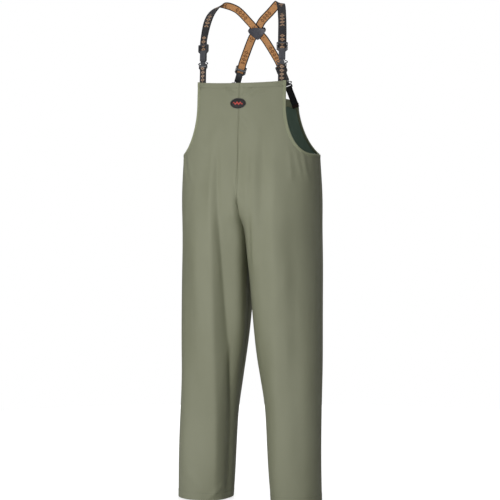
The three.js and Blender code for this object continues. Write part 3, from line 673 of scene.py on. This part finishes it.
# The layers sewn or taped inside the cloth: (gap behind the cloth's inner face, thickness), in metres.
HEM_LAYER, TAPE_LAYER = (0.0003, 0.0008), (0.0002, 0.0004)
TAPE_HALF_WIDTH, TAPE_MEASURED_ROW = 0.009, 40
# They take every third row of a panel, down from its top edge or, for the last, from above its hem.
BIB_HEM_ROWS, TAPE_ROWS, LEG_HEM_ROWS = slice(1, 25, 3), slice(26, TRUNK_ROWS, 3), slice(-24, None, 3)


def sunk_strip(name, points, normals, layer, material, ring=False):
    gap, thickness = layer
    depth = CLOTH + gap
    outer, inner = points - normals * depth, points - normals * (depth + thickness)
    return shell_object(name, outer, inner, [material] * 3, ring)


def across_face(face, rows, columns):
    """Points and normals from a face's right edge to its left, out to a number of columns each way."""
    halves = zip(SURFACES[face, "right"], SURFACES[face, "left"])
    return [np.concatenate([right[rows, :columns][:, ::-1], left[rows, 1:columns]], axis=1)
            for right, left in halves]


def make_hems():
    for face in FACES:
        # Both bib hems take lightened cloth, painted light; the back's is the lighter of the two.
        material = HEM_BACK_PAINTED_LIGHT if face == "back" else CLOTH_EDGE_PAINTED_LIGHT
        hem = sunk_strip(f"{face}_bib_turned_hem", *across_face(face, BIB_HEM_ROWS, -2), HEM_LAYER, material)
        on_garment(hem, "turned_hem", f"{face}_bib_hem")
        across = SURFACES[face, "left"][0][TAPE_MEASURED_ROW, :, 0]
        columns = int(np.argmax(across > TAPE_HALF_WIDTH))
        tape = sunk_strip(f"{face}_seam_tape_film", *across_face(face, TAPE_ROWS, columns), TAPE_LAYER, TAPE)
        on_garment(tape, "seam_tape", f"{face}_seam_tape")
    for name in SIDES:
        rows, front, back = LEG_HEM_ROWS, SURFACES["front", name], SURFACES["back", name]
        points, normals = (np.concatenate([front[i][rows], back[i][rows, -2:0:-1]], axis=1) for i in (0, 1))
        # The leg hems take the lightened edge cloth: painted light.
        hem = sunk_strip(f"leg_hem_{name}_turned", points, normals, HEM_LAYER, CLOTH_EDGE_PAINTED_LIGHT, ring=True)
        on_garment(hem, "turned_hem", f"leg_hem_{name}")


def armhole_path(name):
    """Points, outward normals and directions into the cloth along an armhole, front top to back top."""
    points, normals = (np.concatenate([SURFACES["front", name][i][:BIB_ROWS, -1],
                                       SURFACES["back", name][i][:BIB_ROWS - 1, -1][::-1]]) for i in (0, 1))
    tangent = np.gradient(points, axis=0)
    into = np.cross(tangent, normals)
    into /= np.linalg.norm(into, axis=-1, keepdims=True)
    return points, normals, into * SIDES[name]


# The binding's section as (distance into the cloth, height off its outer face), in millimetres.
BINDING_SECTION = [(8, -0.05), (8, 0.45), (4, 0.62), (0.6, 0.7), (-0.7, 0.2), (-1.0, -0.6), (-0.7, -1.4),
                   (0.6, -1.9), (4, -1.8), (8, -1.65), (8, -1.25), (0.3, -1.25), (0.3, -0.05)]


def make_bindings():
    for name in SIDES:
        points, normals, into = armhole_path(name)
        sections = [[p + into[i] * u * MM + normals[i] * v * MM for u, v in BINDING_SECTION]
                    for i, p in enumerate(points)]
        # The binding takes the lightened edge cloth: painted light.
        binding = rings_mesh(f"armhole_binding_{name}_edge", np.array(sections) + (0, 0, HEM_Z), CLOTH_EDGE_PAINTED_LIGHT)
        on_garment(binding, "turned_hem", f"armhole_binding_{name}")


# -------- stitches
THREAD_RADIUS = 0.00032
STITCH_PITCH, STITCH_SHARE = 0.0036, 0.68  # the rest of each pitch is the gap between stitches
SEAM_OFFSET, BINDING_OFFSET = 0.0035, 0.006  # from a seam or an armhole's edge to its stitches
ON_LAYER = 0.0006  # stitches through a lapped layer lie this much higher
# A stitch's rings: place along it, rise and size, the last two in thread radii.
STITCH_RINGS = [(0, -0.4, 0.5), (0.2, 0.7, 1), (0.8, 0.7, 1), (1, -0.4, 0.5)]
STITCH_CORNERS = 5


class Stitches:
    """Many small thread stitches collected into one mesh."""

    def __init__(self):
        self.vertices, self.faces = [], []

    def add(self, start, end, outward):
        """One stitch: a thread that rises out of the cloth and goes back in."""
        along = end - start
        side = np.cross(outward, along)
        side /= max(np.linalg.norm(side), 1e-9)
        base = len(self.vertices)
        for k, rise, size in STITCH_RINGS:
            middle = start + along * k + outward * THREAD_RADIUS * rise
            for corner in range(STITCH_CORNERS):
                turn = 2 * math.pi * corner / STITCH_CORNERS
                spoke = side * math.cos(turn) + outward * math.sin(turn)
                self.vertices.append(middle + spoke * THREAD_RADIUS * size)
        for face in tube_faces(len(STITCH_RINGS), STITCH_CORNERS):
            self.faces.append(tuple(base + corner for corner in face))

    def line(self, points, normals, pitch=STITCH_PITCH):
        """Stitches at an even pitch along a route of points."""
        steps = np.linalg.norm(np.diff(points, axis=0), axis=1)
        distance = np.concatenate([[0], np.cumsum(steps)])
        starts = np.arange(pitch / 2, distance[-1] - pitch, pitch)
        at = lambda values, d: np.stack([np.interp(d, distance, values[:, i]) for i in range(3)], axis=-1)
        ends = starts + pitch * STITCH_SHARE
        for a, b, n in zip(at(points, starts), at(points, ends), at(normals, starts)):
            self.add(a, b, n / np.linalg.norm(n))

    def build(self, name, material):
        obj = new_object(name, np.array(self.vertices) + (0, 0, HEM_Z), self.faces, [material])
        on_garment(obj, "coated_cloth")


def beside_seam(points, normals, column, distance):
    """A route beside a panel's seam: `distance` into the panel from its first or last column."""
    step = 1 if column == 0 else -1
    edge, near = points[:, column], points[:, column + 4 * step]
    way = near - edge
    way /= np.linalg.norm(way, axis=-1, keepdims=True)
    return edge + way * distance, normals[:, column + step]


TAB_X = {"front": 0.122, "back": 0.098}  # where the tabs are sewn to the bib's edges
BOX_HALF, BOX_TOP, BOX_FOOT, BOX_PITCH = 0.009, -0.003, -0.018, 0.0030


def box_stitch(stitches, face, side):
    """A sewn box with a cross in it, where a tab is held inside the bib's edge."""
    row = bib_row(face, [BIB[face]["top"]] * 2, ACROSS)
    edge = float(np.interp(TAB_X[face], row[:, 0], row[:, 2]))
    corners = [(-1, BOX_TOP), (1, BOX_TOP), (1, BOX_FOOT), (-1, BOX_FOOT)]
    corners += [(-1, BOX_TOP), (1, BOX_FOOT), (1, BOX_TOP), (-1, BOX_FOOT)]
    for (u0, drop0), (u1, drop1) in zip(corners, corners[1:]):
        k = np.linspace(0, 1, 12)
        x, z = TAB_X[face] + mix(u0, u1, k) * BOX_HALF, edge + mix(drop0, drop1, k)
        points = trunk_points(face, trunk_angle(z, x), z)
        normals = trunk_outward(face, points)
        flip = np.array([side, 1, 1])
        stitches.line((points + normals * ON_LAYER) * flip, normals * flip, BOX_PITCH)


def make_stitches():
    hems, seams, edges = Stitches(), Stitches(), Stitches()
    for (face, name), (points, normals) in SURFACES.items():
        top_row, leg_row = round(TOP_HEM[face] / MM) - 2, 2 - round(HEM_DEPTH / MM)
        hems.line(points[top_row], normals[top_row])
        hems.line(points[leg_row], normals[leg_row])
        side_points, side_normals = beside_seam(points, normals, -1, SEAM_OFFSET)
        seams.line(side_points[BIB_ROWS + 1 :: 2], side_normals[BIB_ROWS + 1 :: 2])
        inner_points, inner_normals = beside_seam(points, normals, 0, SEAM_OFFSET)
        seams.line(inner_points[CROTCH_ROWS + 2 :: 2], inner_normals[CROTCH_ROWS + 2 :: 2])
        seams.line(inner_points[2 : TRUNK_ROWS + 12 : 2], inner_normals[2 : TRUNK_ROWS + 12 : 2])
    for name, side in SIDES.items():
        points, normals, into = armhole_path(name)
        edges.line(points + into * BINDING_OFFSET + normals * ON_LAYER, normals)
        for face in FACES:
            box_stitch(edges, face, side)
    hems.build("hem_stitches", THREAD)
    seams.build("seam_stitches", THREAD)
    edges.build("armhole_stitches", THREAD)


make_hems()
make_bindings()
make_stitches()


# -------- badge
BADGE_TILT, BADGE_GAP = -0.06, 0.0005  # leans with the cloth, and stands this much off it
BADGE_HALF, BADGE_RIM, RIM_DEEP = (0.024, 0.0155), 0.0018, 0.0010
BADGE_INNER = tuple(half - BADGE_RIM for half in BADGE_HALF)
BADGE_Y = -float(profile(DEPTH["front"], BADGE_HEIGHT)) - BADGE_GAP
BADGE_FRAME = Matrix.Translation((BADGE_OFFSET, BADGE_Y, HEM_Z + BADGE_HEIGHT))
BADGE_FRAME = BADGE_FRAME @ Matrix.Rotation(BADGE_TILT, 4, "X")
# The domed backing's rings as (share of its half width and height, y), with its outer face at -y.
BADGE_DOME = [(0.02, -0.0024), (0.3, -0.00235), (0.6, -0.0022), (0.85, -0.0019), (0.96, -0.0016),
              (1, -0.0011), (1, 0)]
WAVE_HALF, WAVE_Y, WAVE_RISE = 0.0155, -0.0027, 0.0024
WAVE_DEEP, WAVE_TALL = 0.0006, 0.0030


def oval_ring(half, count=72):
    turns = np.linspace(0, 2 * math.pi, count, endpoint=False)
    return np.stack([half[0] * np.cos(turns), np.zeros(count), half[1] * np.sin(turns)], axis=-1)


def badge_piece(name, node, rings, material, loop=False):
    """A piece of the badge from rings round its own y axis, set on the bib."""
    obj = rings_mesh(name, rings, material, loop)
    obj.data.transform(BADGE_FRAME)
    on_garment(obj, node, node)


def rim_rings(count=10):
    """Ovals round the rim's own round section."""
    for turn in np.arange(count) * 2 * math.pi / count:
        grow = BADGE_RIM / 2 * (1 + math.cos(turn))
        half = (BADGE_INNER[0] + grow, BADGE_INNER[1] + grow)
        yield oval_ring(half) + (0, RIM_DEEP * (math.sin(turn) - 1), 0)


def wave_rings(count=60):
    """Flat oval sections along a plain wave that thins out at both ends."""
    turns = np.linspace(0, 2 * math.pi, 8, endpoint=False)
    for k in np.linspace(0, 1, count):
        taper = math.sin(math.pi * min(max(k, 0.02), 0.98)) ** 0.5
        middle = np.array([mix(-WAVE_HALF, WAVE_HALF, k), WAVE_Y, WAVE_RISE * math.sin(6 * math.pi * k)])
        section = [0 * turns, WAVE_DEEP * np.cos(turns), WAVE_TALL * taper * np.sin(turns)]
        yield middle + np.stack(section, axis=-1)


def make_badge():
    dome = [oval_ring((BADGE_INNER[0] * k, BADGE_INNER[1] * k)) + (0, y, 0) for k, y in BADGE_DOME]
    badge_piece("badge_domed_backing", "badge_backing", dome, BADGE_BLACK)
    badge_piece("badge_silver_rim", "badge_rim", list(rim_rings()), BADGE_SILVER, loop=True)
    badge_piece("badge_red_wave", "badge_motif", list(wave_rings()), BADGE_RED)


# -------- buckles
def joint_of(name):
    return next(joint for joint in frame["joints"] if joint["name"] == name)


# Places along a buckle from the bib's edge.
ARM_ROOT_HEIGHT = 0.0514  # where the latch's squeeze arms bend
BAR_HEIGHT = 0.0415  # the latch bar that the tab loops round
BEVEL_SEGMENTS, BEVEL_FROM = 3, math.radians(28)  # edges that turn more than this are rounded
PLACES = [f"{end}_{name}" for end in ("front", "rear") for name in SIDES]


def buckle_frame(place):
    """The buckle's axes: x across, y through with its outer side at -y, z along the strap from the bib."""
    z = -Vector(joint_of(f"latch_release_{place}")["axis"]).normalized()
    first, second = joint_of(f"arm_squeeze_{place}_a"), joint_of(f"arm_squeeze_{place}_b")
    a, b = Vector(first["pos_m"]), Vector(second["pos_m"])
    x = (a - b).normalized()
    y = z.cross(x).normalized()
    origin = (a + b) / 2 - z * ARM_ROOT_HEIGHT
    return Matrix((x, y, z)).transposed().to_4x4(), origin


def detailed(node, name, material, width=0.0004):
    """A copy of a moulded CAD piece with merged faces and rounded edges."""
    source = frame["nodes"][node]
    mesh = source.data.copy()
    work = bmesh.new()
    work.from_mesh(mesh)
    bmesh.ops.remove_doubles(work, verts=work.verts, dist=0.00001)
    bmesh.ops.dissolve_limit(work, angle_limit=math.radians(1), verts=work.verts, edges=work.edges)
    work.to_mesh(mesh)
    work.free()
    mesh.materials.clear()
    mesh.materials.append(material)
    mesh.polygons.foreach_set("use_smooth", np.full(len(mesh.polygons), True))
    obj = bpy.data.objects.new(name, mesh)
    bpy.context.scene.collection.objects.link(obj)
    bevel = obj.modifiers.new("rounded_edges", "BEVEL")
    bevel.width = width
    bevel.segments = BEVEL_SEGMENTS
    bevel.limit_method = "ANGLE"
    bevel.angle_limit = BEVEL_FROM
    bevel.harden_normals = True
    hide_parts(node)
    return obj


def make_buckles():
    for place in PLACES:
        front = place.startswith("front")
        material = PLASTIC_FRONT if front else PLASTIC_REAR
        pieces = [(f"buckle_socket_{place}", "garment"), (f"buckle_latch_{place}", f"latch_{place}")]
        pieces += [(f"latch_arm_{place}_{arm}", f"arm_{place}_{arm}") for arm in "ab"]
        for node, body in pieces:
            obj = detailed(node, f"{node}_moulding", material)
            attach(obj, body)
    slider = detailed("cross_slider", "cross_slider_moulding", PLASTIC_SLIDER, 0.0007)
    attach(slider, "garment")


# -------- webbing
def centripetal(points, per_span):
    """Points of a centripetal Catmull-Rom curve, `per_span` to each gap between stations."""
    points = np.asarray(points, float)
    ends = (2 * points[0] - points[1], 2 * points[-1] - points[-2])
    full = np.concatenate([[ends[0]], points, [ends[1]]])
    result = []
    for p0, p1, p2, p3 in zip(full, full[1:], full[2:], full[3:]):
        d0, d1, d2 = (max(np.linalg.norm(q - p), 1e-6) ** 0.5 for p, q in ((p0, p1), (p1, p2), (p2, p3)))
        m1 = ((p1 - p0) / d0 - (p2 - p0) / (d0 + d1) + (p2 - p1) / d1) * d1
        m2 = ((p2 - p1) / d1 - (p3 - p1) / (d1 + d2) + (p3 - p2) / d2) * d1
        for u in np.arange(per_span) / per_span:
            result.append((2 * u**3 - 3 * u**2 + 1) * p1 + (u**3 - 2 * u**2 + u) * m1
                          + (3 * u**2 - 2 * u**3) * p2 + (u**3 - u**2) * m2)
    return np.array(result + [points[-1]])


OUTER_FACES = range(7, 17)  # the faces round a band's section on its outer side


def webbing(name, line, sides, width, thickness, materials, weave_from=0.0):
    """A woven band along a line, with rounded borders and coordinates for the weave: across, then along."""
    tangent = np.gradient(line, axis=0)
    tangent /= np.linalg.norm(tangent, axis=-1, keepdims=True)
    sides = sides - tangent * np.sum(sides * tangent, axis=-1, keepdims=True)
    sides /= np.linalg.norm(sides, axis=-1, keepdims=True)
    normals = np.cross(tangent, sides)
    half, deep = width / 2, thickness / 2
    flat = half - deep * 0.8
    section = [(u * flat, deep) for u in (-1, -0.84, -0.5, 0, 0.5, 0.84, 1)]
    section += [(half - deep * 0.25, deep * 0.6), (half, 0), (half - deep * 0.25, -deep * 0.6)]
    section += [(u * flat, -deep) for u in (1, 0.84, 0.5, 0, -0.5, -0.84, -1)]
    section += [(-half + deep * 0.25, -deep * 0.6), (-half, 0), (-half + deep * 0.25, deep * 0.6)]
    corners = len(section)
    along = np.concatenate([[0], np.cumsum(np.linalg.norm(np.diff(line, axis=0), axis=1))])
    vertices = [p + s * u + n * v for p, s, n in zip(line, sides, normals) for u, v in section]
    slots = [0 if j in OUTER_FACES else 1 for _ in line[1:] for j in range(corners)] + [0, 0]
    obj = new_object(name, np.array(vertices), tube_faces(len(line), corners), materials, slots)
    outward_faces(obj)
    band = obj.data.attributes.new("band", "FLOAT_VECTOR", "POINT")
    values = np.array([(u, d + weave_from, 0) for d in along for u, _ in section], np.float32)
    band.data.foreach_set("vector", values.ravel())
    return obj, along[-1]


CROSS_AT = Vector((0, 0.048, HEM_Z + 1.410))
CROSS_TILT, CROSS_ANGLE, CROSS_STEP = 0.464, 0.63, 0.0015
STRAP, TAB, SEWN_END = (0.025, 0.0015), (0.022, 0.0013), (0.0225, 0.0010)  # width and thickness
SEWN_END_LENGTH, SEWN_END_OUT = 0.009, 0.0012
TAB_LOOP, TAB_GAP, TAB_FOOT = 0.0029, 0.0005, -0.024  # its loop's radius, the gap in it, and its lower end
TAB_WEAVE_FROM = 0.4
STRAP_IN_BUCKLE = (0.0915, 0.10175, 0.112, 0.122)  # heights along the buckle where the strap is held
# Waypoints of each brace over the shoulder: (x, y, height above the hems) in millimetres, and the way its
# width lies.
SHOULDER_ROUTE = {
    "right": [((-118, -62, 1428), (1, 0, 0)), ((-110, -30, 1463), (0.95, 0, 0.2)),
              ((-93, 2, 1482), (0.85, -0.15, 0.45)), ((-56, 20, 1471), (0.78, -0.25, 0.55))],
    "left": [((108, -45, 1432), (1, 0, 0)), ((92, -9, 1479), (0.97, 0.1, -0.2)),
             ((80, 6, 1482), (0.85, 0.2, -0.45)), ((52, 21, 1460), (0.76, 0.28, -0.57))],
}


def buckle_stations(place):
    axes, origin = buckle_frame(place)
    across, up = axes.col[0].to_3d(), axes.col[2].to_3d()
    if across.x < 0:
        across.negate()
    return [(origin + up * z, across) for z in STRAP_IN_BUCKLE]


def cross_stations(side):
    up = Vector((0, -math.sin(CROSS_TILT), math.cos(CROSS_TILT)))
    out = Vector((0, math.cos(CROSS_TILT), math.sin(CROSS_TILT)))
    down = Vector((-side * math.sin(CROSS_ANGLE), 0, 0)) - up * math.cos(CROSS_ANGLE)
    across = Vector((math.cos(CROSS_ANGLE), 0, 0)) - up * side * math.sin(CROSS_ANGLE)
    middle = CROSS_AT + out * side * CROSS_STEP
    return [(middle + down * d * MM, across) for d in (-34, -17, 0, 17, 34)]


def make_braces():
    hems = Vector((0, 0, HEM_Z))
    for name, side in SIDES.items():
        other = "right" if side > 0 else "left"
        shoulder = [(Vector(at) * MM + hems, Vector(across)) for at, across in SHOULDER_ROUTE[name]]
        route = buckle_stations(f"front_{name}") + shoulder + cross_stations(side)
        route += buckle_stations(f"rear_{other}")[::-1]
        line = centripetal([at for at, _ in route], 24)
        sides = centripetal([across for _, across in route], 24)
        brace, length = webbing(f"brace_{name}_webbing", line, sides, *STRAP, [BRACE_OUT, BRACE_IN])
        on_garment(brace, "elastic_brace", f"brace_{name}")


def tab_line():
    """The tab's centre line in the buckle frame: up inside, round the latch bar and down outside."""
    lap = (TAB[1] + TAB_GAP) / 2
    loop = []
    for k in np.linspace(0, 1, 9):
        angle = math.radians(mix(-35, 215, k))
        loop.append((0, TAB_LOOP * math.cos(angle), BAR_HEIGHT + TAB_LOOP * math.sin(angle)))
    down = [(0, -lap, BAR_HEIGHT - 0.009), (0, -lap, 0.010), (0, -lap, TAB_FOOT)]
    return [(0, -y, z) for _, y, z in down[::-1]] + loop + down


def make_tabs():
    for place in PLACES:
        front = place.startswith("front")
        axes, origin = buckle_frame(place)
        line = centripetal(tab_line(), 10)
        line = np.array([(axes @ Vector(p)) + origin for p in line])
        sides = np.tile(np.array(axes.col[0].to_3d()), (len(line), 1))
        material = TAB_FRONT if front else TAB_REAR
        tab, length = webbing(f"tab_{place}_webbing", line, sides, *TAB, [material] * 2, TAB_WEAVE_FROM)
        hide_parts(f"tab_{place}")
        up = axes.col[2].to_3d()
        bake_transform(tab)
        if front:
            continue
        end = line[0] + np.array(axes.col[1].to_3d()) * SEWN_END_OUT
        short = np.array([end + np.array(up) * d for d in np.linspace(0, SEWN_END_LENGTH, 4)])
        patch, _ = webbing(f"tab_{place}_sewn_end", short, sides[:4], *SEWN_END, [END_PATCH] * 2)
        on_garment(patch, "rear_tab")


make_badge()
make_buckles()
make_braces()
make_tabs()


# -------- floor, light and camera
WORLD_LIGHT = 0.245  # the white surroundings, as far as they light the object
FLOOR_RADIUS, FLOOR_GAP, FLOOR_CORNERS = 2.4, 0.004, 96
FLOOR_GREY, FLOOR_GLOW = 0.42, 0.76  # the glow is for the camera's eye, and lights nothing
CAMERA_AZIMUTH, CAMERA_DISTANCE, CAMERA_LIFT = math.radians(18), 5.0, 0.133
AIM_RIGHT, AIM_HEIGHT = -0.006, 0.747


def make_stage():
    """A plain pale round floor."""
    turns = np.linspace(0, 2 * math.pi, FLOOR_CORNERS, endpoint=False)
    level = np.full(FLOOR_CORNERS, HEM_Z - FLOOR_GAP)
    rim = np.stack([FLOOR_RADIUS * np.cos(turns), FLOOR_RADIUS * np.sin(turns), level], axis=-1)
    material, tree, shader, _ = node_material("pale_stage", 0.9, specular=0.1)
    shader.inputs["Base Color"].default_value = (FLOOR_GREY, FLOOR_GREY, FLOOR_GREY, 1)
    shader.inputs["Emission Color"].default_value = (1, 1, 1, 1)
    seen = tree.nodes.new("ShaderNodeLightPath").outputs["Is Camera Ray"]
    glow = maths(tree, "MULTIPLY", seen, FLOOR_GLOW)
    tree.links.new(glow, shader.inputs["Emission Strength"])
    new_object("pale_floor", rim, [tuple(range(FLOOR_CORNERS))], [material])


def area_light(name, at, target, size, power):
    data = bpy.data.lights.new(name, "AREA")
    data.shape = "RECTANGLE"
    data.size, data.size_y = size
    data.energy = power
    obj = bpy.data.objects.new(name, data)
    obj.location = at
    obj.rotation_euler = (Vector(target) - Vector(at)).to_track_quat("-Z", "Y").to_euler()
    bpy.context.scene.collection.objects.link(obj)


def make_lights():
    middle = (0, 0, HEM_Z + 0.8)
    area_light("key_front", (-0.34, -2.8, HEM_Z + 0.85), middle, (1.0, 1.1), 55)
    area_light("back_soft", (-1.24, 3.8, HEM_Z + 1.7), middle, (1.2, 1.6), 100)
    area_light("top_soft", (0.5, -0.2, HEM_Z + 3.6), middle, (2.4, 2.4), 22)
    world = bpy.data.worlds.new("studio")
    bpy.context.scene.world = world
    world.use_nodes = True
    tree = world.node_tree
    background = tree.nodes["Background"]
    background.inputs["Color"].default_value = (1, 1, 1, 1)
    seen = tree.nodes.new("ShaderNodeLightPath").outputs["Is Camera Ray"]
    tree.links.new(spread(tree, seen, 0, 1, WORLD_LIGHT, 1), background.inputs["Strength"])


def make_camera():
    data = bpy.data.cameras.new("camera")
    data.sensor_width = 36
    data.lens = 120
    camera = bpy.data.objects.new("camera", data)
    right = Vector((math.cos(CAMERA_AZIMUTH), math.sin(CAMERA_AZIMUTH), 0))
    target = right * AIM_RIGHT + Vector((0, 0, HEM_Z + AIM_HEIGHT))
    towards = Vector((math.sin(CAMERA_AZIMUTH), -math.cos(CAMERA_AZIMUTH), 0))
    camera.location = target + towards * CAMERA_DISTANCE + Vector((0, 0, CAMERA_LIFT))
    camera.rotation_euler = (target - camera.location).to_track_quat("-Z", "Y").to_euler()
    bpy.context.scene.collection.objects.link(camera)
    bpy.context.scene.camera = camera


make_stage()
make_lights()
make_camera()
bpy.context.scene.view_settings.view_transform = "Standard"
